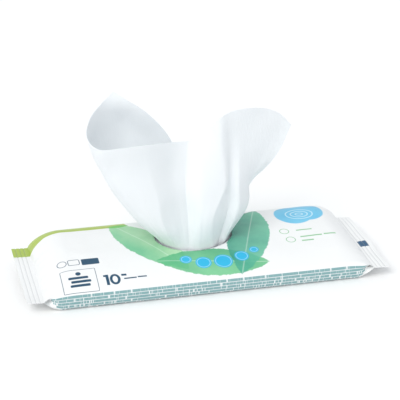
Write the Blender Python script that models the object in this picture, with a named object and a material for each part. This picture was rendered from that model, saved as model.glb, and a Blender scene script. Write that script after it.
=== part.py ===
"""Soft travel pack of wet wipes.

A printed film pouch, sealed flat at both ends, with an oval opening in its top.
A film label closes the opening and is peeled back. Nine folded wipes lie inside,
and a tenth is pulled halfway out, gathered by the opening and spread above it.

Metres, +Z up. The pouch lies along X, its front is at -Y, and the origin is on
the surface under the middle of the pouch. Tables of points are in millimetres.
"""
import math

import bmesh
import bpy

for old in list(bpy.data.objects):
    bpy.data.objects.remove(old)

MM = 0.001

# --- driving dimensions -------------------------------------------------
PACK_LENGTH = 0.210          # over both end seals
PACK_WIDTH = 0.0728          # over the sides and along the seals
SEAL_WIDTH = 0.0095          # each crimped end seal, along X
SEAL_HEIGHT = 0.0070         # the seals stand this high above the surface
SEAL_THICKNESS = 0.0008
FILM_THICKNESS = 0.00035     # stands in for a film of 0.07 mm
TUCK_DEPTH = 0.0085          # how far the sides fold in where they meet a seal

OPENING_CENTRE = (-0.0020, 0.0047)
OPENING_RADII = (0.0230, 0.0170)

LABEL_RADII = (0.0305, 0.0243)
LABEL_REAR_Y = 0.0300        # rear end of the label, stuck down
LABEL_STUCK_LENGTH = 0.0075  # the part that never peels off
LABEL_THICKNESS = 0.0003
LABEL_CREASE_RADIUS = 0.0035
LABEL_CREASE_ANGLE = math.radians(118)
LABEL_CURL_RADIUS = 0.060

WIPE_LENGTH = 0.172          # the wipe's side that lies along the pouch
FOLDED_WIDTH = 0.060         # the other side, folded in three
FOLDED_COUNT = 9
FOLDED_PITCH = 0.00109       # from one folded wipe to the next
PLY_THICKNESS = 0.00030
PLY_PITCH = 0.00035
STACK_BASE = 0.00095
STACK_CENTRE_Y = 0.0005
PULLED_THICKNESS = 0.0005
STACK_DRIFT = (0.0006, 0.0004)   # how far folded wipes lie off one another, along X and Y

GAP = 0.0003                 # left between pieces that touch


# --- helpers ------------------------------------------------------------
FINE_STEPS = 12              # segments in a span, where a curve is only looked up


def catmull(points, steps):
    """A smooth open curve through the points, with steps segments in each span."""
    last = len(points) - 1
    curve = []
    for i in range(last):
        a, b = points[i], points[i + 1]
        before = points[i - 1] if i else [2 * p - q for p, q in zip(a, b)]
        after = points[i + 2] if i + 2 <= last else [2 * q - p for p, q in zip(a, b)]
        for step in range(steps):
            t = step / steps
            curve.append(tuple(
                0.5 * (2 * p1 + (p2 - p0) * t + (2 * p0 - 5 * p1 + 4 * p2 - p3) * t * t
                       + (3 * p1 - p0 - 3 * p2 + p3) * t ** 3)
                for p0, p1, p2, p3 in zip(before, a, b, after)))
    curve.append(tuple(points[-1]))
    return curve


def loft(bm, loops, hollow=False):
    """Skin sections that run clockwise in (y, z) and follow +X, and cap both ends.
    A hollow one faces inwards."""
    rings = [[bm.verts.new(point) for point in loop] for loop in loops]
    faces = [rings[0], rings[-1][::-1]]
    for ring, following in zip(rings, rings[1:]):
        for i in range(len(ring)):
            j = (i + 1) % len(ring)
            faces.append([ring[i], following[i], following[j], ring[j]])
    for face in faces:
        bm.faces.new(face[::-1] if hollow else face)


def sheet(bm, rows):
    """Skin an open grid of points."""
    grid = [[bm.verts.new(point) for point in row] for row in rows]
    for row, following in zip(grid, grid[1:]):
        for i in range(len(row) - 1):
            bm.faces.new((row[i], row[i + 1], following[i + 1], following[i]))


def add_object(name, bm, material):
    """Put the mesh in the scene under the node's name."""
    mesh = bpy.data.meshes.new(name)
    bm.to_mesh(mesh)
    bm.free()
    mesh.shade_smooth()
    mesh.set_sharp_from_angle(angle=math.radians(35))
    mesh.materials.append(material)
    piece = bpy.data.objects.new(name, mesh)
    bpy.context.scene.collection.objects.link(piece)
    return piece


def add_material(name, colour, roughness):
    material = bpy.data.materials.new(name)
    material.use_nodes = True
    shader = material.node_tree.nodes["Principled BSDF"]
    shader.inputs["Base Color"].default_value = (*colour, 1.0)
    shader.inputs["Roughness"].default_value = roughness
    shader.inputs["Metallic"].default_value = 0.0
    return material


def thicken(piece, thickness):
    """Give an open sheet its thickness, half on each side."""
    solid = piece.modifiers.new("thickness", "SOLIDIFY")
    solid.thickness = thickness
    solid.offset = 0.0


# --- film pouch ---------------------------------------------------------
# The pouch's section half-way along, as runs of (y, z) in millimetres. The
# front of the top slopes down softly, and the rear edge stands squarer. The
# fin seal is folded flat in the middle of the underside. Each run has the
# number of segments in each span, and the seal's edge that each end goes to.
FRONT_SIDE = [(-33.2, 0.0), (-35.4, 1.6), (-36.3, 5.0), (-36.2, 8.6), (-34.2, 11.2)]
TOP = [(-34.2, 11.2), (-28.0, 13.6), (-20.0, 16.0), (-10.0, 18.0), (0.0, 19.3),
       (10.0, 20.0), (20.0, 20.4), (27.0, 20.2), (32.0, 18.9)]
REAR_SIDE = [(32.0, 18.9), (34.8, 16.4), (36.2, 12.0), (36.2, 5.0), (33.2, 0.0)]
UNDERSIDE = [(33.2, 0.0), (14.0, 0.0), (7.0, 0.3), (5.7, 0.3), (5.5, 0.0),
             (-5.5, 0.0), (-5.7, 0.3), (-7.0, 0.3), (-14.0, 0.0), (-33.2, 0.0)]
RUNS = [(FRONT_SIDE, 2, (-1, -1), (-1, 1)), (TOP, 2, (-1, 1), (1, 1)),
        (REAR_SIDE, 2, (1, 1), (1, -1)), (UNDERSIDE, 1, (1, -1), (-1, -1))]

BODY_END = PACK_LENGTH / 2 - SEAL_WIDTH
TOP_SHOULDER = 0.077         # beyond this X the top falls to the seal
TOP_FALL = (2.0, 0.77)       # powers that shape that fall
BASE_SHOULDER = 0.0855       # beyond this X the underside lifts to the seal
BASE_LIFT = (1.3, 0.80)
TUCK_START = 0.0885          # beyond this X the sides fold in
TUCK_POWER = 1.3
CAVITY_END = 0.0931          # the film is pinched together from here to the seal
SEAL_START = BODY_END + 0.0005
STATIONS = [0.0, 0.020, 0.040, 0.060, 0.077, 0.081, 0.0845, 0.0865, 0.0885, 0.0900, 0.0915, 0.0930,
            0.0945, BODY_END, SEAL_START, PACK_LENGTH / 2]


def reach_beyond(start, x):
    """0 at the start and 1 where the seal begins."""
    return min(max((abs(x) - start) / (BODY_END - start), 0.0), 1.0)


def film_section(x):
    """The pouch's outer section at x, clockwise, as (y, z) in metres."""
    rise = (1.0 - reach_beyond(TOP_SHOULDER, x) ** TOP_FALL[0]) ** TOP_FALL[1]
    drop = (1.0 - reach_beyond(BASE_SHOULDER, x) ** BASE_LIFT[0]) ** BASE_LIFT[1]
    spread = reach_beyond(TOP_SHOULDER, x) ** 2
    tuck = TUCK_DEPTH * reach_beyond(TUCK_START, x) ** TUCK_POWER if abs(x) <= BODY_END else 0.0

    points = []
    for outline, steps, (y_from, y_to), (z_from, z_to) in RUNS:
        curve = catmull(outline, steps)
        start, end = curve[0], curve[-1]
        side = y_from == y_to
        for y, z in curve[:-1]:
            if side:
                share = (z - start[1]) / (end[1] - start[1])
            else:
                share = (y - start[0]) / (end[0] - start[0])
            seal_y = (y_from + (y_to - y_from) * share) * PACK_WIDTH / 2
            seal_z = (z_from + (z_to - z_from) * share) * SEAL_THICKNESS / 2
            above = z * MM - SEAL_HEIGHT
            kept = rise if above > 0 else drop
            y = y * MM * (1 - spread) + seal_y * spread
            if side:
                y -= y_from * tuck * (1 - abs(2 * share - 1))
            points.append((y, SEAL_HEIGHT + above * kept + seal_z * (1 - kept)))
    return points


STRAIGHT = 1e-3              # edges that turn less than this are taken as one line


def inset(points, distance):
    """Move each edge of a clockwise section inwards, and meet the moved edges again."""
    moved = []
    for (ay, az), (by, bz) in zip(points, points[1:] + points[:1]):
        length = math.hypot(by - ay, bz - az)
        dy, dz = (by - ay) / length, (bz - az) / length
        moved.append((ay + dz * distance, az - dy * distance, dy, dz))
    inner = []
    for (y1, z1, dy1, dz1), (y2, z2, dy2, dz2) in zip(moved[-1:] + moved[:-1], moved):
        turn = dy1 * dz2 - dz1 * dy2
        along = ((y2 - y1) * dz2 - (z2 - z1) * dy2) / turn if abs(turn) > STRAIGHT else None
        inner.append((y2, z2) if along is None else (y1 + dy1 * along, z1 + dz1 * along))
    return inner


def make_wrapper():
    """The film as a skin of even thickness, open only where the opening is cut."""
    stations = [-x for x in STATIONS[:0:-1]] + STATIONS
    bm = bmesh.new()
    loft(bm, [[(x, y, z) for y, z in film_section(x)] for x in stations])
    loft(bm, [[(x, y, z) for y, z in inset(film_section(x), FILM_THICKNESS)]
              for x in stations if abs(x) < CAVITY_END], hollow=True)
    return add_object("wrapper", bm, add_material("white film", (0.93, 0.94, 0.94), 0.35))


CUTTER_DEPTH = 0.016         # through the top only
CUTTER_HEIGHT = 0.023
CUTTER_SEGMENTS = 48


def make_opening_cutter():
    bm = bmesh.new()
    bmesh.ops.create_cone(bm, cap_ends=True, segments=CUTTER_SEGMENTS, radius1=1.0, radius2=1.0,
                          depth=CUTTER_DEPTH)
    bmesh.ops.scale(bm, vec=(*OPENING_RADII, 1.0), verts=bm.verts)
    cutter = add_object("opening_cutter", bm, None)
    cutter.location = (*OPENING_CENTRE, CUTTER_HEIGHT)
    cutter.hide_render = True
    cutter.display_type = "WIRE"
    return cutter


def top_height(y):
    """The height of the pouch's top at y, in metres."""
    curve = catmull(TOP, FINE_STEPS)
    for (y1, z1), (y2, z2) in zip(curve, curve[1:]):
        if y1 * MM <= y <= y2 * MM:
            return (z1 + (z2 - z1) * (y / MM - y1) / (y2 - y1)) * MM
    return curve[-1][1] * MM


# --- reseal label -------------------------------------------------------
LABEL_STATIONS = 26
LABEL_ACROSS = 12
LABEL_ROUNDNESS = 2.5
LABEL_END = 0.03             # of half a turn, left off each end so that it has a width


def label_path(distance):
    """(y, z) of the peeled label's middle, this far from its rear end."""
    lift = GAP + LABEL_THICKNESS / 2
    crease_y = LABEL_REAR_Y - LABEL_STUCK_LENGTH
    if distance <= LABEL_STUCK_LENGTH:
        y = LABEL_REAR_Y - distance
        return y, top_height(y) + lift
    distance -= LABEL_STUCK_LENGTH
    crease_length = LABEL_CREASE_RADIUS * LABEL_CREASE_ANGLE
    angle = min(distance / crease_length, 1.0) * LABEL_CREASE_ANGLE
    y = crease_y - LABEL_CREASE_RADIUS * math.sin(angle)
    z = top_height(crease_y) + lift + LABEL_CREASE_RADIUS * (1 - math.cos(angle))
    rest = max(distance - crease_length, 0.0)
    turned = LABEL_CREASE_ANGLE + rest / LABEL_CURL_RADIUS
    y += LABEL_CURL_RADIUS * (math.sin(LABEL_CREASE_ANGLE) - math.sin(turned))
    z += LABEL_CURL_RADIUS * (math.cos(LABEL_CREASE_ANGLE) - math.cos(turned))
    return y, z


def make_label():
    rows = []
    for i in range(LABEL_STATIONS + 1):
        along = -math.cos(math.pi * (LABEL_END + (1 - 2 * LABEL_END) * i / LABEL_STATIONS))
        half_width = LABEL_RADII[0] * (1 - abs(along) ** LABEL_ROUNDNESS) ** (1 / LABEL_ROUNDNESS)
        y, z = label_path(LABEL_RADII[1] * (1 + along))
        rows.append([(OPENING_CENTRE[0] + half_width * (2 * j / LABEL_ACROSS - 1), y, z)
                     for j in range(LABEL_ACROSS + 1)])
    bm = bmesh.new()
    sheet(bm, rows)
    label = add_object("reseal_label", bm, add_material("label film", (0.86, 0.92, 0.88), 0.3))
    thicken(label, LABEL_THICKNESS)
    return label


# --- folded wipes -------------------------------------------------------
FOLD_SEGMENTS = 5


def folded_outline():
    """Three plies joined by two folds, as one clockwise outline of (y, z)."""
    half = FOLDED_WIDTH / 2
    outer = PLY_PITCH / 2 + PLY_THICKNESS / 2
    inner = PLY_PITCH / 2 - PLY_THICKNESS / 2

    def arc(y, z, radius, side, upwards):
        angles = [-math.pi / 2 + math.pi * k / FOLD_SEGMENTS for k in range(FOLD_SEGMENTS + 1)]
        points = [(y + side * radius * math.cos(a), z + radius * math.sin(a)) for a in angles]
        return points if upwards else points[::-1]

    low, high = PLY_PITCH / 2, 3 * PLY_PITCH / 2
    turn = half - outer
    points = [(-half, -PLY_THICKNESS / 2)]
    points += arc(turn, low, outer, 1, True)
    points += arc(-turn, high, inner, -1, True)
    points += [(half, 2 * PLY_PITCH - PLY_THICKNESS / 2), (half, 2 * PLY_PITCH + PLY_THICKNESS / 2)]
    points += arc(-turn, high, outer, -1, False)
    points += arc(turn, low, inner, 1, False)
    points += [(-half, PLY_THICKNESS / 2)]
    return points[::-1]


def make_folded_wipe(index, material):
    """One wipe folded in three, laid a little off the one below it."""
    bm = bmesh.new()
    loft(bm, [[(x, y, z) for y, z in folded_outline()] for x in (-WIPE_LENGTH / 2, WIPE_LENGTH / 2)])
    wipe = add_object(f"folded_wipe_{index + 1}", bm, material)
    shift_x = STACK_DRIFT[0] * math.sin(2.4 * index)
    shift_y = STACK_DRIFT[1] * math.cos(1.7 * index)
    wipe.location = (shift_x, STACK_CENTRE_Y + shift_y, STACK_BASE + PLY_THICKNESS / 2 + FOLDED_PITCH * index)
    return wipe


# --- pulled wipe --------------------------------------------------------
# Rows of points from the wipe's lower edge to its upper one, in millimetres.
# Each row runs from the left side edge, round the front, to the right one.
LAST_PANEL_Z = 11.35
FRONT_FOLD_Y = -24.6
COLUMNS = 17
PANEL_SLACK = 0.975          # the panel lies this much narrower than the cloth's flat length


def panel_row(y, z):
    """A straight row across the panel that still lies flat on the stack."""
    length = WIPE_LENGTH / MM * PANEL_SLACK
    return [((i / (COLUMNS - 1) - 0.5) * length, y, z) for i in range(COLUMNS)]


PULLED_ROWS = [
    panel_row(27.0, LAST_PANEL_Z),
    panel_row(FRONT_FOLD_Y, LAST_PANEL_Z),
    panel_row(FRONT_FOLD_Y - 0.5, LAST_PANEL_Z + 0.45),
    panel_row(FRONT_FOLD_Y + 0.2, LAST_PANEL_Z + 0.9),
    # gathered towards the opening
    [(-74, 3, 13.2), (-69, -4, 13.2), (-62, -10, 13.2), (-54, -14, 13.2), (-45, -17, 13.2),
     (-36, -19.2, 13.2), (-26.5, -20.5, 13.2), (-17.5, -21, 13.2), (-8, -21.2, 13.2),
     (2, -21.2, 13.2), (12, -21, 13.2), (22, -20.4, 13.2), (31, -19, 13.2), (40, -16.5, 13.2),
     (49, -12, 13.2), (56, -5, 13.2), (60, 3, 13.2)],
    [(-42, 19, 14.0), (-45, 12, 14.0), (-46, 5, 14.0), (-43, -3, 14.0), (-36.5, -9, 14.0),
     (-29, -13, 14.0), (-21, -16, 14.0), (-14, -17.3, 14.0), (-7, -18, 14.0), (1, -18, 14.0),
     (9.5, -17.3, 14.0), (17, -15, 14.0), (24, -12, 14.0), (31, -6, 14.0), (34, 2, 14.0),
     (34, 11, 14.0), (30, 19, 14.0)],
    [(-11, 12, 15.6), (-17, 10.8, 15.6), (-22, 6.8, 15.6), (-24, 0.5, 15.6), (-21, -5, 15.6),
     (-16.5, -8.8, 15.6), (-11.3, -10.8, 15.6), (-7.3, -11.2, 15.6), (-3.5, -11.8, 15.6),
     (1, -11.8, 15.6), (6.5, -10.7, 15.6), (10.3, -6.2, 15.6), (14.4, -6.4, 15.6),
     (18.4, -1.5, 15.6), (19, 5.4, 15.6), (15, 10.5, 15.6), (9, 12, 15.6)],
    # through the opening
    [(-10, 11.8, 20.5), (-16, 10.4, 20.5), (-20.8, 6.5, 20.5), (-23.0, 0.6, 20.2),
     (-20.2, -4.4, 19.8), (-15.7, -7.9, 19.2), (-10.7, -10.0, 18.9), (-7, -10.4, 18.8),
     (-3.5, -11.1, 18.8), (1, -11.1, 18.8), (6.3, -10.1, 18.9), (10, -5.5, 19.4),
     (14.0, -5.8, 19.4), (17.8, -1.3, 20.0), (18.4, 5.2, 20.5), (14.5, 10, 20.5), (8, 11.8, 20.5)],
    # spreading above it
    [(-6, 9, 53), (-17, 12, 48), (-30, 8, 43), (-39, -4, 39), (-34, -10, 38), (-27, -13.5, 37.5),
     (-20, -13.5, 37.5), (-13, -9.5, 37), (-8, -10.5, 36.5), (-2, -14, 37), (7, -14, 40),
     (14, -6, 40), (19.5, -7, 40), (27, -1, 39), (28, 4, 38), (23.5, 8, 36.5), (18, 8.5, 35)],
    [(-13, 10, 77), (-27, 14, 72), (-43, 8, 65), (-51, -5, 57), (-46, -13, 56), (-36, -16, 55),
     (-27, -15.5, 55), (-17, -9.5, 54), (-9.5, -9, 53), (-1, -13.5, 54), (13, -12.5, 57),
     (17, -7, 57), (20.5, -8, 56), (26.5, -4, 55), (31, 1, 53), (33.5, 4, 51.5), (35, 7, 51)],
    [(-27, 12, 95), (-42, 15, 90), (-55, 6, 82), (-59.5, -6, 75), (-56, -14, 73), (-44, -18, 72),
     (-32, -17, 72), (-18, -10, 70), (-9, -8.5, 69.5), (0, -12, 72), (11, -12.5, 77), (17, -8, 78),
     (23, -6, 78), (31, -2, 77), (39, 2, 74), (45, 4, 71), (49, 5, 67)],
    [(-45.5, 15, 108), (-54, 9.5, 103), (-61, 1.5, 98), (-64.5, -8, 91), (-60, -19, 87.6),
     (-48, -22.5, 88), (-34, -20, 88), (-18, -11, 85), (-8, -8, 83.5), (1, -9.5, 89),
     (9, -11, 96.5), (15, -9, 98.5), (22, -6, 99), (31, -2, 98), (41, 3, 95), (50, 6, 90),
     (57.5, 8, 82)],
]
ROW_STEPS = [3, 1, 1, 2, 2, 3, 2, 4, 4, 4, 4]    # segments from each row to the next
COLUMN_STEPS = 3


def make_pulled_wipe(material):
    columns = list(zip(*PULLED_ROWS))
    smooth = [catmull(column, FINE_STEPS) for column in columns]
    picked = [row * FINE_STEPS + FINE_STEPS * step // steps
              for row, steps in enumerate(ROW_STEPS) for step in range(steps)] + [len(smooth[0]) - 1]
    rows = []
    for place in picked:
        row = catmull([column[place] for column in smooth], COLUMN_STEPS)
        rows.append([(x * MM, y * MM, z * MM) for x, y, z in row])
    bm = bmesh.new()
    sheet(bm, rows)
    wipe = add_object("pulled_wipe", bm, material)
    thicken(wipe, PULLED_THICKNESS)
    return wipe


# --- the whole pack -----------------------------------------------------
wrapper = make_wrapper()
opening = wrapper.modifiers.new("opening", "BOOLEAN")
opening.object = make_opening_cutter()
opening.operation = "DIFFERENCE"
opening.solver = "EXACT"

make_label()

cloth = add_material("wet nonwoven cloth", (0.94, 0.95, 0.96), 0.7)
for index in range(FOLDED_COUNT):
    make_folded_wipe(index, cloth)
make_pulled_wipe(cloth)
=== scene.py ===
"""The looks of a soft travel pack of wet wipes: printed film pouch, peeled label,
nine folded wipes, and one wipe pulled up through the opening."""
import math

import bpy
import numpy as np
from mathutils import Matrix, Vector, noise


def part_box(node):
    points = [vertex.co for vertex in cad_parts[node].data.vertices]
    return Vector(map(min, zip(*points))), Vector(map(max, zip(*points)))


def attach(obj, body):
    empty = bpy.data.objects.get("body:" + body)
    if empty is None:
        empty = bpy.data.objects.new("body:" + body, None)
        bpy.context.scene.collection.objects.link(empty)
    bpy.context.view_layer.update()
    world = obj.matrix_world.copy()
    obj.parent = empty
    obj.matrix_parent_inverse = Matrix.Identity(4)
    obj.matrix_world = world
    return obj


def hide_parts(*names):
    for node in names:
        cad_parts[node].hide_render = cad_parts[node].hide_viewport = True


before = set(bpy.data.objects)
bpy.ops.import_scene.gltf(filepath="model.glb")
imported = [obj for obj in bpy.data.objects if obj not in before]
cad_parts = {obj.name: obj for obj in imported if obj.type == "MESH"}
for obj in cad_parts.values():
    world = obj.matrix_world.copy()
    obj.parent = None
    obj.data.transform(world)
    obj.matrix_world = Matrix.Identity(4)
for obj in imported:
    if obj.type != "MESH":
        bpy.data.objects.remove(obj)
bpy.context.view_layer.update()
MM = 0.001


# ---- The film pouch ------------------------------------------------------------------
# One web of white printed film, folded into a tube with a fin seal underneath, closed by
# a crimped seal at each end with its sides tucked in, and die-cut with an oval opening.
pouch_low, pouch_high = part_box("wrapper")
HALF_LENGTH = (pouch_high[0] - pouch_low[0]) / 2 / MM
HALF_WIDTH = 36.4
SEAL_WIDTH = 9.5
SEAL_HEIGHT = 7.0
FILM = 0.12                       # a little thicker than the real film, so that its edge shows
OPENING = (-2.0, 4.7, 23.0, 17.0)  # centre and radii

FRONT_SIDE = [(-33.2, 0.0), (-35.4, 1.6), (-36.3, 5.0), (-36.2, 8.6), (-34.2, 11.2)]
TOP = [(-34.2, 11.2), (-28.0, 13.6), (-20.0, 16.0), (-10.0, 18.0), (0.0, 19.3),
       (10.0, 20.0), (20.0, 20.4), (27.0, 20.2), (32.0, 18.9)]
REAR_SIDE = [(32.0, 18.9), (34.8, 16.4), (36.2, 12.0), (36.2, 5.0), (33.2, 0.0)]
UNDERSIDE = [(33.2, 0.0), (14.0, 0.0), (7.0, 0.3), (5.7, 0.3), (5.5, 0.0),
             (-5.5, 0.0), (-5.7, 0.3), (-7.0, 0.3), (-14.0, 0.0), (-33.2, 0.0)]


def smooth(points, steps):
    """A smooth curve through the points, with so many segments in each span."""
    points = np.asarray(points, float)
    ends = np.concatenate([[2 * points[0] - points[1]], points, [2 * points[-1] - points[-2]]])
    spans = []
    for p0, p1, p2, p3 in zip(ends, ends[1:], ends[2:], ends[3:]):
        t = (np.arange(steps) / steps).reshape((-1,) + (1,) * (points.ndim - 1))
        spans.append(0.5 * (2 * p1 + (p2 - p0) * t + (2 * p0 - 5 * p1 + 4 * p2 - p3) * t * t
                            + (3 * p1 - p0 - 3 * p2 + p3) * t ** 3))
    return np.concatenate(spans + [points[-1:]])


def straight(points, counts):
    """The points joined by straight spans, each cut into its own count of segments."""
    spans = [np.linspace(a, b, n, endpoint=False) for a, b, n in zip(points, points[1:], counts)]
    return np.concatenate(spans + [[points[-1]]])


# Each run of the section: its curve, the seal edge it starts and ends at, and top or base.
BODY_END = HALF_LENGTH - SEAL_WIDTH
runs = [(smooth(FRONT_SIDE, 4), (-1, -1), (-1, 1)), (smooth(TOP, 9), (-1, 1), (1, 1)),
        (smooth(REAR_SIDE, 5), (1, 1), (1, -1)),
        (straight(UNDERSIDE, (10, 4, 2, 1, 8, 1, 2, 4, 10)), (1, -1), (-1, -1))]
columns = []
for curve, (y_from, y_to), (z_from, z_to) in runs:
    along = 1 if y_from == y_to else 0
    share = (curve[:-1, along] - curve[0, along]) / (curve[-1, along] - curve[0, along])
    for (y, z), part in zip(curve[:-1], share):
        columns.append((y, z, y_from + (y_to - y_from) * part, z_from + (z_to - z_from) * part,
                        along * y_from * (1 - abs(2 * part - 1))))
body_y, body_z, seal_side, seal_face, tuck_in = np.array(columns).T
round_length = np.hypot(np.diff(body_y), np.diff(body_z))
web = np.concatenate([[0], np.cumsum(round_length)]) - round_length[:len(runs[0][0]) - 1].sum()

in_seal = np.linspace(BODY_END + 0.3, HALF_LENGTH, 45)
in_end = np.linspace(76.0, BODY_END, 40)
half = np.concatenate([np.linspace(0, 76.0, 56, endpoint=False), in_end, in_seal])
stations = np.concatenate([-half[:0:-1], half])


def beyond(start, x):
    return np.clip((np.abs(x) - start) / (BODY_END - start), 0, 1)


x = stations[:, None] + 0 * body_y
rise = (1 - beyond(77.0, x) ** 2) ** 0.77
drop = (1 - beyond(85.5, x) ** 1.3) ** 0.80
spread = beyond(77.0, x) ** 2
tuck = np.where(np.abs(x) <= BODY_END, 8.5 * beyond(88.5, x) ** 1.3, 0)
kept = np.where(body_z > SEAL_HEIGHT, rise, drop)
y = body_y * (1 - spread) + seal_side * HALF_WIDTH * spread - tuck * tuck_in
z = SEAL_HEIGHT + (body_z - SEAL_HEIGHT) * kept + seal_face * 0.2 * (1 - kept)

# Crimps: three narrow grooves along each seal, and a slow wave in the free strip.
seal_reach = np.clip(np.abs(x) - BODY_END, 0, None)
for groove in (2.4, 4.8, 7.2):
    z -= 0.3 * np.exp(-((HALF_LENGTH - np.abs(x) - groove) / 0.3) ** 2) * (seal_reach > 0)
z += seal_reach / SEAL_WIDTH * (0.5 * np.sin(y / 11 + np.sign(x)) + 0.25 * np.sin(y / 4.3 + 2 * np.sign(x)))
# Puckers: film gathered by the seal, running up onto the top and dying out.
top = np.clip((web[None, :] + 1) / 4, 0, 1) * np.clip((68 - web[None, :]) / 4, 0, 1)
near_seal = np.exp(-((BODY_END - np.abs(x)) / 7.0) ** 2) * (np.abs(x) <= BODY_END)
folds = np.sin(y * 0.83 + 0.9 * np.sin(y * 0.31 + np.sign(x))) + 0.6 * np.sin(y * 1.9 + 1.3 * np.sign(x))
pucker = 0.2 * near_seal * np.clip((BODY_END - np.abs(x)) / 2.0, 0, 1) * folds * top
# Slack: slow dents where the film isn't held out by what is inside.
slack = np.array([[noise.noise(Vector((a / 21, b / 13, 0.3))) + 0.4 * noise.noise(Vector((a / 8, b / 6, 4.1)))
                   for b in web] for a in stations])
z += (pucker + 0.35 * slack * top * (1 - beyond(80, x)))
outer = np.stack([x, y, z], axis=-1)


def grid_normals(points, closed):
    """Unit normals of a grid of points, whose columns may close into a loop."""
    if closed:
        around = np.roll(points, -1, axis=1) - np.roll(points, 1, axis=1)
    else:
        around = np.gradient(points, axis=1)
    normals = np.cross(np.gradient(points, axis=0), around)
    return normals / np.maximum(np.linalg.norm(normals, axis=-1, keepdims=True), 1e-9)


# The opening: cells inside the oval are left out, and its edge is drawn onto the oval.
def on_top(points):
    return (points[..., 2] > 12) & (np.abs(points[..., 0]) < 40)


cx, cy, rx, ry = OPENING
place = np.hypot((outer[..., 0] - cx) / rx, (outer[..., 1] - cy) / ry)
cut = (place < 1) & on_top(outer)
open_cell = cut & np.roll(cut, -1, 0) & np.roll(cut, -1, 1) & np.roll(np.roll(cut, -1, 0), -1, 1)
used = ~open_cell
corner_used = used | np.roll(used, 1, 0) | np.roll(used, 1, 1) | np.roll(np.roll(used, 1, 0), 1, 1)
rim = cut & corner_used
scale = np.where(rim, 1 / np.maximum(place, 0.2), 1)
outer[..., 0] = cx + (outer[..., 0] - cx) * scale
outer[..., 1] = cy + (outer[..., 1] - cy) * scale
top_profile = smooth(TOP, 9)
flat_z = np.interp(outer[..., 1], top_profile[:, 0], top_profile[:, 1])
outer[..., 2] = np.where(rim, flat_z, outer[..., 2])

inner = outer - grid_normals(outer, True) * FILM
hollow = np.abs(stations) < 93.2
rows, count = outer.shape[:2]
first_hollow, last_hollow = np.flatnonzero(hollow)[[0, -1]]

points = np.concatenate([outer.reshape(-1, 3), inner[hollow].reshape(-1, 3)])
skin = rows * count


def outer_at(i, j):
    return i * count + j % count


def inner_at(i, j):
    return skin + (i - first_hollow) * count + j % count


faces = [[outer_at(0, j) for j in range(count)], [outer_at(rows - 1, j) for j in range(count)][::-1],
         [inner_at(first_hollow, j) for j in range(count)][::-1],
         [inner_at(last_hollow, j) for j in range(count)]]
for i in range(rows - 1):
    for j in range(count):
        if open_cell[i, j]:
            continue
        faces.append([outer_at(i, j), outer_at(i + 1, j), outer_at(i + 1, j + 1), outer_at(i, j + 1)])
        if first_hollow <= i < last_hollow:
            faces.append([inner_at(i, j), inner_at(i, j + 1), inner_at(i + 1, j + 1), inner_at(i + 1, j)])
for i in range(rows - 1):
    for j in range(count):
        if not open_cell[i, j]:
            continue
        for (di, dj), (a, b) in (((-1, 0), ((0, 0), (0, 1))), ((1, 0), ((1, 1), (1, 0))),
                                 ((0, -1), ((1, 0), (0, 0))), ((0, 1), ((0, 1), (1, 1)))):
            if not open_cell[i + di, (j + dj) % count]:
                p, q = (i + a[0], j + a[1]), (i + b[0], j + b[1])
                faces.append([outer_at(*p), outer_at(*q), inner_at(*q), inner_at(*p)])


def add_mesh(name, points, faces):
    """A smooth-shaded mesh, from points in millimetres."""
    mesh = bpy.data.meshes.new(name)
    mesh.from_pydata((np.asarray(points) * MM).tolist(), [], [list(map(int, face)) for face in faces])
    mesh.validate()
    mesh.shade_smooth()
    mesh.set_sharp_from_angle(angle=math.radians(50))
    piece = bpy.data.objects.new(name, mesh)
    bpy.context.scene.collection.objects.link(piece)
    return piece


used_points = np.unique(np.concatenate([np.asarray(face) for face in faces]))
renumber = np.full(len(points), -1)
renumber[used_points] = np.arange(len(used_points))
pouch = add_mesh("film_pouch", points[used_points], [renumber[face] for face in faces])
web_place = np.stack([np.broadcast_to(stations[:, None], x.shape), np.broadcast_to(web, x.shape), 0 * x],
                     axis=-1)
inner_place = web_place + [0, 0, 1]
web_places = np.concatenate([web_place.reshape(-1, 3), inner_place[hollow].reshape(-1, 3)])[used_points]
pouch.data.attributes.new("web", "FLOAT_VECTOR", "POINT").data.foreach_set("vector", web_places.ravel())


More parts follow.
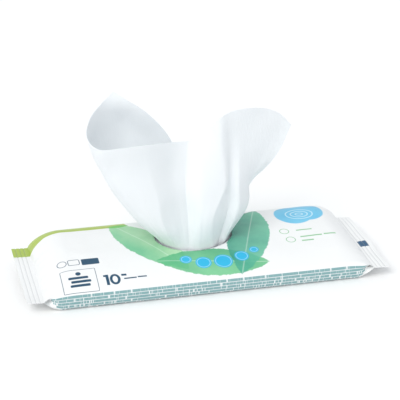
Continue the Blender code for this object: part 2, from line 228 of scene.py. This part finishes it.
# The film's print: soft leaves round the opening, ripples, bubbles, bars and a plain count.
class Inks:
    """Draws plain shapes in a material, in millimetres across the film's web."""

    def __init__(self, name, roughness):
        self.material = bpy.data.materials.new(name)
        self.material.use_nodes = True
        self.nodes, self.links = self.material.node_tree.nodes, self.material.node_tree.links
        self.shader = self.nodes["Principled BSDF"]
        self.shader.inputs["Roughness"].default_value = roughness
        self.place = self.nodes.new("ShaderNodeAttribute")
        self.place.attribute_name = "web"
        split = self.nodes.new("ShaderNodeSeparateXYZ")
        self.links.new(self.place.outputs["Vector"], split.inputs[0])
        self.u, self.s, self.inside = split.outputs

    def calc(self, operation, *values, clamp=False):
        node = self.nodes.new("ShaderNodeMath")
        node.operation = operation
        node.use_clamp = clamp
        for socket, value in zip(node.inputs, values):
            if isinstance(value, (int, float)):
                socket.default_value = value
            else:
                self.links.new(value, socket)
        return node.outputs[0]

    def edge(self, distance, soft=0.12):
        """1 where the distance is above 0, with a soft edge."""
        return self.calc("MULTIPLY_ADD", distance, 0.5 / soft, 0.5, clamp=True)

    def either(self, *masks):
        found = masks[0]
        for mask in masks[1:]:
            found = self.calc("MAXIMUM", found, mask)
        return found

    def both(self, a, b):
        return self.calc("MULTIPLY", a, b)

    def disc(self, u, s, across, along=None, soft=0.12):
        along = along or across
        du = self.calc("MULTIPLY", self.calc("SUBTRACT", self.u, u), 1 / across)
        ds = self.calc("MULTIPLY", self.calc("SUBTRACT", self.s, s), 1 / along)
        size = self.calc("SQRT", self.calc("MULTIPLY_ADD", du, du, self.calc("MULTIPLY", ds, ds)))
        return self.edge(self.calc("MULTIPLY_ADD", size, -min(across, along), min(across, along)), soft)

    def ring(self, u, s, radius, width, along=None):
        along = along or radius
        hole = self.disc(u, s, radius - width, along - width)
        return self.both(self.disc(u, s, radius, along), self.calc("SUBTRACT", 1.0, hole))

    def bar(self, u, s, half_u, half_s, corner=0.2, soft=0.12):
        du = self.calc("SUBTRACT", self.calc("ABSOLUTE", self.calc("SUBTRACT", self.u, u)), half_u - corner)
        ds = self.calc("SUBTRACT", self.calc("ABSOLUTE", self.calc("SUBTRACT", self.s, s)), half_s - corner)
        du, ds = self.calc("MAXIMUM", du, 0.0), self.calc("MAXIMUM", ds, 0.0)
        size = self.calc("SQRT", self.calc("MULTIPLY_ADD", du, du, self.calc("MULTIPLY", ds, ds)))
        return self.edge(self.calc("SUBTRACT", corner, size), soft)

    def frame(self, u, s, half_u, half_s, width, corner):
        hole = self.bar(u, s, half_u - width, half_s - width, max(corner - width, 0.05))
        return self.both(self.bar(u, s, half_u, half_s, corner), self.calc("SUBTRACT", 1.0, hole))

    def leaf(self, u, s, half_length, half_width, degrees, ragged, soft=0.25):
        """A pointed leaf between two arcs; also how far across it each place is, -1 to 1."""
        turn = math.radians(degrees)
        du, ds = self.calc("SUBTRACT", self.u, u), self.calc("SUBTRACT", self.s, s)
        along = self.calc("MULTIPLY_ADD", du, math.cos(turn), self.calc("MULTIPLY", ds, math.sin(turn)))
        across = self.calc("MULTIPLY_ADD", du, -math.sin(turn), self.calc("MULTIPLY", ds, math.cos(turn)))
        radius = (half_length ** 2 + half_width ** 2) / (2 * half_width)
        back = radius - half_width
        outside = self.calc("ADD", self.calc("ABSOLUTE", across), back)
        size = self.calc("SQRT", self.calc("MULTIPLY_ADD", along, along,
                                           self.calc("MULTIPLY", outside, outside)))
        depth = self.calc("ADD", self.calc("SUBTRACT", radius, size), ragged)
        return self.edge(depth, soft), along, across, depth

    def noise(self, scale, detail=3.0, vector=None):
        node = self.nodes.new("ShaderNodeTexNoise")
        node.inputs["Scale"].default_value = scale
        node.inputs["Detail"].default_value = detail
        self.links.new(vector or self.place.outputs["Vector"], node.inputs["Vector"])
        return node.outputs["Fac"]

    def blend(self, mask, below, above):
        node = self.nodes.new("ShaderNodeMix")
        node.data_type = "RGBA"
        for socket, value in ((node.inputs[0], mask), (node.inputs[6], below), (node.inputs[7], above)):
            if isinstance(value, tuple):
                socket.default_value = (*value, 1.0)
            elif isinstance(value, (int, float)):
                socket.default_value = value
            else:
                self.links.new(value, socket)
        return node.outputs[2]

    def finish(self, colour):
        self.links.new(colour, self.shader.inputs["Base Color"])
        return self.material


def ink(red, green, blue):
    """A colour given in display values, as the shader's linear ones."""
    return tuple(((c / 255 + 0.055) / 1.055) ** 2.4 for c in (red, green, blue))


film = Inks("printed_film", 0.33)
ragged = film.calc("MULTIPLY_ADD", film.noise(0.35, 4), 2.4, -1.2)
wash = film.noise(0.06, 5)
colour = film.blend(film.noise(0.02), ink(236, 237, 237), ink(240, 241, 241))

SIDE_TEAL = ink(52, 138, 142)
# Rows of small print are drawn as broken bars: (middle u, s, half length, seed).
ROWS_OF_BARS = ([(0.0, -3.4 - 1.95 * k, 91.8 - 0.3 * k * k, 9.7 * (k + 1)) for k in range(5)]
                + [(28.0, 72.5 + 2.2 * k, 52.0, 81.3 + 9.7 * k) for k in range(4)]
                + [(-34.0, 99.0 + 2.4 * k, 44.0, 151.3 + 9.7 * k) for k in range(5)])
words = []
for u, s, half_length, seed in ROWS_OF_BARS:
    line = film.bar(u, s, half_length, 0.8, 0.1)
    along_row = film.nodes.new("ShaderNodeCombineXYZ")
    film.links.new(film.u, along_row.inputs[0])
    along_row.inputs[1].default_value = seed
    letters = film.edge(film.calc("SUBTRACT", film.noise(1.35, 1, along_row.outputs[0]), 0.36), 0.06)
    gaps = film.edge(film.calc("SUBTRACT", film.noise(0.31, 0, along_row.outputs[0]), 0.28), 0.04)
    words.append(film.both(line, film.both(letters, gaps)))
colour = film.blend(film.calc("MULTIPLY", film.either(*words), 0.85), colour, SIDE_TEAL)

LEAVES = [((-30.0, 36.0), 34.0, 12.5, 122, (168, 214, 168), (98, 188, 138)),
          ((3.0, 12.0), 33.0, 11.5, -9, (112, 196, 140), (52, 164, 112)),
          ((29.5, 33.0), 36.0, 12.5, 70, (92, 184, 150), (28, 140, 122))]
for (u, s), half_length, half_width, degrees, light, dark in LEAVES:
    leaf, along, across, depth = film.leaf(u, s, half_length, half_width, degrees, ragged)
    tone = film.calc("MULTIPLY_ADD", across, 0.035, film.calc("MULTIPLY_ADD", wash, 1.6, -0.35), clamp=True)
    vein = film.edge(film.calc("SUBTRACT", 0.28, film.calc("ABSOLUTE", across)), 0.3)
    shade = film.blend(tone, ink(*light), ink(*dark))
    shade = film.blend(film.calc("MULTIPLY", vein, 0.35), shade, ink(235, 248, 238))
    colour = film.blend(film.calc("MULTIPLY", leaf, 0.93), colour, shade)

CYAN = ink(34, 178, 222)
for u, s, radius in ((-12.0, 15.5, 3.4), (-2.5, 11.6, 4.6), (9.0, 11.0, 5.4), (20.5, 14.0, 4.2),
                     (29.0, 18.6, 2.8)):
    colour = film.blend(film.disc(u, s, radius, soft=0.2), colour, CYAN)
    colour = film.blend(film.calc("MULTIPLY", film.ring(u, s, radius - 0.7, 0.35), 0.5), colour,
                        ink(214, 242, 250))

BLUE = film.blend(wash, ink(128, 206, 236), ink(84, 182, 222))
pool = film.either(film.disc(63.0, 54.0, 11.5, 12.5, soft=0.3), film.disc(71.0, 56.0, 11.0, 11.5, soft=0.3))
colour = film.blend(pool, colour, BLUE)
for radius in (2.6, 5.6, 8.6):
    colour = film.blend(film.calc("MULTIPLY", film.ring(66.5, 53.5, radius, 0.8, radius * 0.8), 0.6), colour,
                        ink(222, 243, 250))

LEAF_GREEN = ink(104, 184, 118)
notes = film.either(film.ring(51.5, 33.6, 2.9, 0.45), film.ring(53.0, 24.6, 2.9, 0.45),
                    film.bar(63.6, 33.6, 4.8, 0.5), film.bar(66.0, 26.6, 6.6, 0.55),
                    film.bar(77.5, 27.0, 3.7, 0.55),
                    film.bar(62.8, 22.6, 3.6, 0.55))
colour = film.blend(film.calc("MULTIPLY", notes, 0.85), colour, LEAF_GREEN)

NAVY = ink(24, 72, 100)
marks = film.either(
    film.frame(-74.4, 7.6, 10.0, 9.1, 0.32, 0.6),
    film.bar(-74.4, 3.6, 5.6, 0.95, 0.6), film.bar(-73.6, 6.6, 5.6, 0.95, 0.6),
    film.bar(-74.8, 9.6, 5.6, 0.95, 0.6),
    film.disc(-74.4, 13.0, 1.5),
    film.ring(-82.0, 23.5, 2.8, 0.4), film.frame(-75.2, 23.6, 3.4, 2.6, 0.4, 1.2),
    film.bar(-65.8, 23.1, 5.0, 2.8, 0.7),
    film.bar(-58.9, 5.6, 0.85, 3.95, 0.15), film.bar(-59.9, 8.7, 1.0, 0.75, 0.2),
    film.ring(-54.6, 5.6, 3.0, 1.55, 3.95),
    film.bar(-49.2, 8.4, 1.5, 0.8, 0.3), film.bar(-46.0, 5.3, 3.6, 0.5), film.bar(-39.2, 5.6, 2.6, 0.5))
colour = film.blend(marks, colour, NAVY)
seal_mark = film.bar(99.9, 30.0, 2.8, 3.3, 0.3)
colour = film.blend(seal_mark, colour, ink(32, 84, 120))

OLIVE = ink(168, 190, 78)
towards_seal = film.calc("MULTIPLY", film.calc("SUBTRACT", -87.0, film.u), 0.12, clamp=True)
widened = film.calc("MULTIPLY_ADD", towards_seal, 3.4, film.s)
stripe = film.both(film.edge(film.calc("SUBTRACT", widened, 59.6), 0.15),
                   film.edge(film.calc("SUBTRACT", -38.0, film.u), 0.6))
colour = film.blend(film.both(stripe, film.edge(film.calc("SUBTRACT", 78.0, film.s))), colour, OLIVE)
sprig, _, _, _ = film.leaf(-43.0, 60.4, 6.5, 2.0, 6, 0.0)
colour = film.blend(sprig, colour, ink(104, 190, 84))

# Painted shade: each crimp groove is darkened to grey in the film's colour, standing in for the shade that
# falls into it.
for groove in (2.4, 4.8, 7.2):
    off_groove = film.calc("SUBTRACT", film.calc("ABSOLUTE", film.u), HALF_LENGTH - groove)
    from_groove = film.calc("ABSOLUTE", off_groove)
    groove_shade = film.edge(film.calc("SUBTRACT", 0.22, from_groove), 0.2)
    colour = film.blend(film.calc("MULTIPLY", groove_shade, 0.3), colour, ink(150, 152, 154))
colour = film.blend(film.edge(film.calc("SUBTRACT", film.inside, 0.5)), colour, ink(236, 240, 242))
grain = film.nodes.new("ShaderNodeBump")
grain.inputs["Strength"].default_value = 0.12
grain.inputs["Distance"].default_value = 0.00025
film.links.new(film.noise(0.9, 3), grain.inputs["Height"])
film.links.new(grain.outputs[0], film.shader.inputs["Normal"])
sheen = film.calc("MULTIPLY_ADD", film.noise(0.12, 2), 0.14, 0.27)
film.links.new(sheen, film.shader.inputs["Roughness"])
pouch.data.materials.append(film.finish(colour))
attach(pouch, "root")
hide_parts("wrapper")


# ---- The reseal label ----------------------------------------------------------------
# A die-cut oval of printed film with glue on its underside. Its rear end stays stuck down
# behind the opening, and the rest is peeled up and curls backwards.
LABEL_RADII = (30.5, 24.3)
LABEL_REAR, LABEL_STUCK = 30.0, 7.5
CREASE_RADIUS, CREASE_ANGLE, CURL_RADIUS = 3.5, math.radians(118), 60.0
LABEL_FILM = 0.2
crease_y = LABEL_REAR - LABEL_STUCK
crease_z = np.interp(crease_y, top_profile[:, 0], top_profile[:, 1]) + 0.45


def label_path(distance):
    """(y, z) along the label's middle, this far from its stuck end."""
    if distance <= LABEL_STUCK:
        rest_y = LABEL_REAR - distance
        return rest_y, np.interp(rest_y, top_profile[:, 0], top_profile[:, 1]) + 0.45
    distance -= LABEL_STUCK
    crease = CREASE_RADIUS * CREASE_ANGLE
    angle = min(distance / crease, 1) * CREASE_ANGLE
    turned = CREASE_ANGLE + max(distance - crease, 0) / CURL_RADIUS
    return (crease_y - CREASE_RADIUS * math.sin(angle)
            + CURL_RADIUS * (math.sin(CREASE_ANGLE) - math.sin(turned)),
            crease_z + CREASE_RADIUS * (1 - math.cos(angle))
            + CURL_RADIUS * (math.cos(CREASE_ANGLE) - math.cos(turned)))


label_rows, label_web = [], []
for i in range(81):
    reach = -math.cos(math.pi * (0.02 + 0.96 * i / 80))
    half_width = LABEL_RADII[0] * (1 - abs(reach) ** 2.5) ** 0.4
    path_y, path_z = label_path(LABEL_RADII[1] * (1 + reach))
    across = np.linspace(-1, 1, 49)
    lift = 0.8 * max(reach, 0) ** 2 * across ** 2
    label_rows.append([(OPENING[0] + half_width * a, path_y - 0.4 * up, path_z + up)
                       for a, up in zip(across, lift)])
    label_web.append([(half_width * a, LABEL_RADII[1] * reach, 0.0) for a in across])


def closed_sheet(name, grid, thickness, web=None):
    """A sheet of this thickness about a grid of points in millimetres."""
    grid = np.asarray(grid, float)
    tall, wide = grid.shape[:2]
    half = grid_normals(grid, False) * thickness / 2
    at = np.arange(tall * wide).reshape(tall, wide)
    over = np.stack([at[:-1, :-1], at[1:, :-1], at[1:, 1:], at[:-1, 1:]], axis=-1).reshape(-1, 4)
    border = np.concatenate([at[0, :-1], at[:-1, -1], at[-1, :0:-1], at[:0:-1, 0]])
    following = np.roll(border, -1)
    side = np.stack([border, following, following + at.size, border + at.size], axis=-1)
    piece = add_mesh(name, np.concatenate([(grid + half).reshape(-1, 3), (grid - half).reshape(-1, 3)]),
                     np.concatenate([over, over[:, ::-1] + at.size, side]))
    if web is not None:
        web = np.asarray(web, float).reshape(-1, 3)
        piece.data.attributes.new("web", "FLOAT_VECTOR", "POINT").data.foreach_set(
            "vector", np.concatenate([web, web + [0, 0, 1]]).ravel())
    return piece


label = closed_sheet("peeled_label", label_rows, LABEL_FILM, label_web)
label_ink = Inks("label_print", 0.25)
wave = label_ink.calc("MULTIPLY_ADD", label_ink.noise(0.05, 3), 1.5, -0.25, clamp=True)
label_colour = label_ink.blend(wave, ink(150, 208, 168), ink(60, 168, 140))
for u, s, radius in ((-12.0, 6.0, 5.0), (0.0, 10.0, 3.2), (9.0, 4.0, 6.0), (18.0, 10.5, 2.6)):
    label_colour = label_ink.blend(label_ink.ring(u, s, radius, 0.5), label_colour, ink(226, 246, 236))
clear_rim = label_ink.calc("SUBTRACT", 1.0, label_ink.disc(0.0, 0.0, 28.0, 21.8))
label_colour = label_ink.blend(clear_rim, label_colour, ink(238, 244, 242))
glued = label_ink.edge(label_ink.calc("SUBTRACT", label_ink.inside, 0.5))
label_colour = label_ink.blend(glued, label_colour, ink(232, 236, 236))
label.data.materials.append(label_ink.finish(label_colour))
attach(label, "root")
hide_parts("reseal_label")


# ---- The folded wipes ----------------------------------------------------------------
# Nonwoven cloth of viscose and polyester fibre, moist, each folded in three plies and
# laid in a stack.
PLY, PLY_PITCH = 0.26, 0.35
FOLDED_HALF = 30.0
WIPE_HALF_LENGTH = 86.0


def cloth_material(name, through):
    """White wet nonwoven: fibres crossing at random, soft shine, and light through it."""
    material = bpy.data.materials.new(name)
    material.use_nodes = True
    nodes, links = material.node_tree.nodes, material.node_tree.links
    shader = nodes["Principled BSDF"]
    place = nodes.new("ShaderNodeTexCoord")
    fibres = None
    for turn, scale in ((0.4, 900.0), (1.9, 1100.0), (2.8, 700.0)):
        mapping = nodes.new("ShaderNodeMapping")
        mapping.inputs["Rotation"].default_value = (turn, turn * 0.7, turn * 1.3)
        mapping.inputs["Scale"].default_value = (1.0, 0.12, 0.35)
        links.new(place.outputs["Object"], mapping.inputs[0])
        strands = nodes.new("ShaderNodeTexNoise")
        strands.inputs["Scale"].default_value = scale
        strands.inputs["Detail"].default_value = 2.0
        links.new(mapping.outputs[0], strands.inputs["Vector"])
        if fibres is None:
            fibres = strands.outputs["Fac"]
        else:
            both = nodes.new("ShaderNodeMath")
            both.operation = "ADD"
            links.new(fibres, both.inputs[0])
            links.new(strands.outputs["Fac"], both.inputs[1])
            fibres = both.outputs[0]
    bump = nodes.new("ShaderNodeBump")
    bump.inputs["Strength"].default_value = 0.25
    bump.inputs["Distance"].default_value = 0.0002
    links.new(fibres, bump.inputs["Height"])
    tint = nodes.new("ShaderNodeMix")
    tint.data_type = "RGBA"
    damp = nodes.new("ShaderNodeTexNoise")
    damp.inputs["Scale"].default_value = 30.0
    links.new(place.outputs["Object"], damp.inputs["Vector"])
    links.new(damp.outputs["Fac"], tint.inputs[0])
    tint.inputs[6].default_value = (*ink(247, 250, 252), 1)
    tint.inputs[7].default_value = (*ink(251, 253, 254), 1)
    links.new(tint.outputs[2], shader.inputs["Base Color"])
    links.new(bump.outputs[0], shader.inputs["Normal"])
    shader.inputs["Roughness"].default_value = 0.72
    shader.inputs["Sheen Weight"].default_value = 0.15
    shader.inputs["Specular IOR Level"].default_value = 0.35
    if through:
        glow = nodes.new("ShaderNodeBsdfTranslucent")
        glow.inputs["Color"].default_value = (*ink(246, 250, 253), 1)
        links.new(bump.outputs[0], glow.inputs["Normal"])
        mix = nodes.new("ShaderNodeMixShader")
        mix.inputs[0].default_value = through
        links.new(shader.outputs[0], mix.inputs[1])
        links.new(glow.outputs[0], mix.inputs[2])
        links.new(mix.outputs[0], nodes["Material Output"].inputs["Surface"])
    return material


def ply_path():
    """The middle of the cloth through its three plies and two folds, as (y, z)."""
    turn = FOLDED_HALF - PLY_PITCH / 2 - PLY / 2
    bend = np.linspace(-math.pi / 2, math.pi / 2, 7)
    flat = np.linspace(0, 1, 25)[:-1]
    lower = [(-FOLDED_HALF + flat_at * (turn + FOLDED_HALF), 0.0) for flat_at in flat]
    right = [(turn + PLY_PITCH / 2 * math.cos(a), PLY_PITCH / 2 * (1 + math.sin(a))) for a in bend]
    middle = [(turn - flat_at * 2 * turn, PLY_PITCH) for flat_at in flat[1:]]
    left = [(-turn - PLY_PITCH / 2 * math.cos(a), PLY_PITCH * 1.5 + PLY_PITCH / 2 * math.sin(a))
            for a in bend]
    upper = [(-turn + flat_at * (turn + FOLDED_HALF), 2 * PLY_PITCH) for flat_at in flat[1:]]
    return np.array(lower + right + middle + left + upper + [(FOLDED_HALF, 2 * PLY_PITCH)])


folded_cloth = cloth_material("folded_nonwoven", 0.0)
path = ply_path()
for number in range(1, 10):
    low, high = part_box(f"folded_wipe_{number}")
    middle = [(low[k] + high[k]) / 2 / MM for k in range(3)]
    lengthwise = np.linspace(-WIPE_HALF_LENGTH, WIPE_HALF_LENGTH, 41)
    grid = [[(middle[0] + a, middle[1] + b, middle[2] - PLY_PITCH + c) for a in lengthwise] for b, c in path]
    grid = np.array(grid)
    edge_wave = 0.35 * np.sin(grid[..., 0] / 9 + number) * np.clip(np.abs(grid[..., 1]) / 30, 0, 1) ** 6
    grid[..., 1] += edge_wave
    folded = closed_sheet(f"folded_cloth_{number}", grid, PLY)
    folded.data.materials.append(folded_cloth)
    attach(folded, "root")
    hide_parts(f"folded_wipe_{number}")


# ---- The pulled wipe -----------------------------------------------------------------
# The tenth wipe. Its last panel still lies on the stack, the rest is drawn together
# through the opening and falls open above it in two lobes with soft folds between them.
CLOTH = 0.32
LAST_PANEL_Z = 11.35
FRONT_FOLD_Y = -24.6


def panel_row(y, z):
    return [((i / 16 - 0.5) * 167.7, y, z) for i in range(17)]


PULLED_ROWS = [
    panel_row(27.0, LAST_PANEL_Z),
    panel_row(FRONT_FOLD_Y, LAST_PANEL_Z),
    panel_row(FRONT_FOLD_Y - 0.5, LAST_PANEL_Z + 0.45),
    panel_row(FRONT_FOLD_Y + 0.2, LAST_PANEL_Z + 0.9),
    # gathered towards the opening
    [(-74, 3, 13.2), (-69, -4, 13.2), (-62, -10, 13.2), (-54, -14, 13.2), (-45, -17, 13.2),
     (-36, -19.2, 13.2), (-26.5, -20.5, 13.2), (-17.5, -21, 13.2), (-8, -21.2, 13.2), (2, -21.2, 13.2),
     (12, -21, 13.2), (22, -20.4, 13.2), (31, -19, 13.2), (40, -16.5, 13.2), (49, -12, 13.2),
     (56, -5, 13.2), (60, 3, 13.2)],
    [(-42, 19, 14.0), (-45, 12, 14.0), (-46, 5, 14.0), (-43, -3, 14.0), (-36.5, -9, 14.0),
     (-29, -13, 14.0), (-21, -16, 14.0), (-14, -17.3, 14.0), (-7, -18, 14.0), (1, -18, 14.0),
     (9.5, -17.3, 14.0), (17, -15, 14.0), (24, -12, 14.0), (31, -6, 14.0), (34, 2, 14.0),
     (34, 11, 14.0), (30, 19, 14.0)],
    [(-11, 12, 15.6), (-17, 10.8, 15.6), (-22, 6.8, 15.6), (-24, 0.5, 15.6), (-21.5, -4.3, 15.6),
     (-18.6, -7.2, 15.6), (-15.5, -9.3, 15.6), (-11.8, -10.2, 15.6), (-7.8, -10.4, 15.6),
     (-2, -12.2, 15.6), (6.5, -11, 15.6), (11, -6.6, 15.6), (14.6, -6.6, 15.6), (18.4, -1.5, 15.6),
     (19, 5.4, 15.6), (15, 10.5, 15.6), (9, 12, 15.6)],
    # through the opening
    [(-10, 11.8, 20.5), (-16, 10.4, 20.5), (-20.8, 6.5, 20.5), (-23.0, 0.6, 20.2), (-20.8, -3.6, 19.8),
     (-18, -6.4, 19.4), (-15, -8.4, 19.1), (-11.5, -9.4, 18.9), (-7.5, -9.6, 18.8), (-2, -11.5, 18.8),
     (6.3, -10.2, 18.9), (10.8, -6.0, 19.4), (14.2, -6.2, 19.4), (17.8, -1.3, 20.0), (18.4, 5.2, 20.5),
     (14.5, 10, 20.5), (8, 11.8, 20.5)],
    # spreading above it
    [(-6, 9, 53), (-17, 12, 48), (-30, 8, 43), (-39, -4, 39), (-35.5, -9.3, 38), (-30, -12.8, 37.5),
     (-23.5, -14.2, 37.5), (-15.5, -10.8, 37), (-8, -8.6, 36.5), (-2, -14, 37), (5.5, -14.6, 38.5),
     (15.5, -7.3, 39.5), (21, -9.5, 39.5), (29, -2, 39), (30.5, 4, 38), (25, 8, 36.5), (18, 8.5, 35)],
    [(-13, 10, 77), (-27, 14, 72), (-43, 8, 65), (-51, -5, 57), (-46, -13, 56), (-36, -16, 55),
     (-27, -15.8, 55), (-17.5, -11.2, 54), (-9.3, -8.4, 53), (-1, -13.5, 54), (12.5, -13, 56.5),
     (16, -8.5, 57), (21.5, -9.5, 56), (27.5, -4, 55), (31, 1, 53), (33.5, 4, 51.5), (35, 7, 51)],
    [(-27, 12, 95), (-42, 15, 90), (-55, 6, 82), (-59.5, -6, 75), (-56, -14, 73), (-44, -18, 72),
     (-32, -17, 72), (-18, -10, 70), (-9, -8.5, 69.5), (0, -12, 72), (11, -12.5, 77), (17, -8, 78),
     (23, -6, 78), (31, -2, 77), (39, 2, 74), (45, 4, 71), (49, 5, 67)],
    [(-45.5, 15, 108), (-54, 9.5, 103), (-61, 1.5, 98), (-64.5, -8, 91), (-60, -19, 87.6),
     (-48, -22.5, 88), (-34, -20, 88), (-18, -11, 85), (-8, -8, 83.5), (1, -9.5, 89), (9, -11, 96.5),
     (15, -9, 98.5), (22, -6, 99), (31, -2, 98), (41, 3, 95), (50, 6, 90), (57.5, 8, 82)],
]
STEPS_UP = 14
STEPS_ACROSS = 11
# How sharply the cloth is creased along each column, at the opening and at the upper edge.
CREASED = [(0, 0), (0, 0), (0.2, 0), (0.3, 0), (0, 0), (0.2, 0), (0.8, 0.3), (0, 0), (0.95, 0.7),
           (0.5, 0.2), (0.95, 0.2), (0.9, 0), (0.95, 0), (0.6, 0), (0.3, 0), (0, 0), (0, 0)]

up_the_cloth = smooth(np.array(PULLED_ROWS, float), STEPS_UP)
height_share = np.clip((up_the_cloth[..., 2] - 20) / 70, 0, 1)
low_crease, high_crease = np.array(CREASED).T
sharp = (low_crease + (high_crease - low_crease) * height_share)[..., None]
turn = np.gradient(up_the_cloth, axis=1)
t = (np.arange(STEPS_ACROSS) / STEPS_ACROSS)[None, :, None]
spans = []
for k in range(16):
    start, end = up_the_cloth[:, k], up_the_cloth[:, k + 1]
    leave = turn[:, k] + sharp[:, k] * (end - start - turn[:, k])
    arrive = turn[:, k + 1] + sharp[:, k + 1] * (end - start - turn[:, k + 1])
    start, end, leave, arrive = (part[:, None] for part in (start, end, leave, arrive))
    spans.append((2 * t ** 3 - 3 * t ** 2 + 1) * start + (t ** 3 - 2 * t ** 2 + t) * leave
                 + (3 * t ** 2 - 2 * t ** 3) * end + (t ** 3 - t ** 2) * arrive)
surface = np.concatenate(spans + [up_the_cloth[:, -1:]], axis=1)

# Fine pleats rise from the gathered part, and the free edge waves a little.
across_cloth = np.linspace(0, 172, surface.shape[1])[None, :]
above = np.clip((surface[..., 2] - 19) / 10, 0, 1)
fade = np.exp(-np.clip(surface[..., 2] - 20, 0, None) / 16)
wobble = 2.2 * np.sin(surface[..., 2] / 17 + across_cloth / 31)
pleats = (0.28 * np.sin(across_cloth * 0.61 + wobble) + 0.12 * np.sin(across_cloth * 1.33 - wobble)) * fade
slow = np.array([[noise.noise(Vector(point / 17)) for point in row] for row in surface])
edge = 0.5 * np.sin(across_cloth / 6.3) * np.clip((surface[..., 2] - 60) / 40, 0, 1) ** 2
lift = (pleats + 0.9 * slow * (1 - fade) + edge) * above
surface = surface + grid_normals(surface, False) * lift[..., None]

pulled = closed_sheet("pulled_cloth", surface, CLOTH)
pulled.data.materials.append(cloth_material("pulled_nonwoven", 0.22))
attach(pulled, "root")
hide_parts("pulled_wipe")


# ---- The studio ----------------------------------------------------------------------
# A white sweep, a wide soft lamp high on the left, and a lens long enough to keep the
# pouch's sides nearly parallel.
floor_mesh = bpy.data.meshes.new("floor")
floor_mesh.from_pydata([(-3, -3, 0), (3, -3, 0), (3, 3, 0), (-3, 3, 0)], [], [(0, 1, 2, 3)])
floor = bpy.data.objects.new("floor", floor_mesh)
bpy.context.scene.collection.objects.link(floor)
floor_paint = bpy.data.materials.new("white_sweep")
floor_paint.use_nodes = True
floor_paint.node_tree.nodes["Principled BSDF"].inputs["Base Color"].default_value = (0.95, 0.95, 0.95, 1)
floor_paint.node_tree.nodes["Principled BSDF"].inputs["Roughness"].default_value = 0.9
floor_mesh.materials.append(floor_paint)

world = bpy.data.worlds.new("studio")
bpy.context.scene.world = world
world.use_nodes = True
world.node_tree.nodes["Background"].inputs["Color"].default_value = (0.94, 0.97, 1.0, 1)
world.node_tree.nodes["Background"].inputs["Strength"].default_value = 0.80

key = bpy.data.lights.new("key", "SUN")
key.energy = 1.5
key.angle = math.radians(35)
key.color = (1.0, 0.98, 0.95)
key_stand = bpy.data.objects.new("key", key)
key_stand.rotation_euler = Vector((0.60, 0.62, -0.85)).to_track_quat("-Z", "Y").to_euler()
bpy.context.scene.collection.objects.link(key_stand)

AZIMUTH, ELEVATION, DISTANCE, LENS = math.radians(-13.56), math.radians(23.18), 0.876, 134.4
towards_camera = Vector((math.sin(AZIMUTH) * math.cos(ELEVATION), -math.cos(AZIMUTH) * math.cos(ELEVATION),
                         math.sin(ELEVATION)))
right = Vector((math.cos(AZIMUTH), math.sin(AZIMUTH), 0))
aim = right * 0.0010 + towards_camera.cross(right) * 0.0402
camera_data = bpy.data.cameras.new("camera")
camera_data.lens = LENS
camera = bpy.data.objects.new("camera", camera_data)
camera.location = aim + towards_camera * DISTANCE
camera.rotation_euler = (-towards_camera).to_track_quat("-Z", "Y").to_euler()
bpy.context.scene.collection.objects.link(camera)
bpy.context.scene.camera = camera
bpy.context.scene.view_settings.view_transform = "Standard"
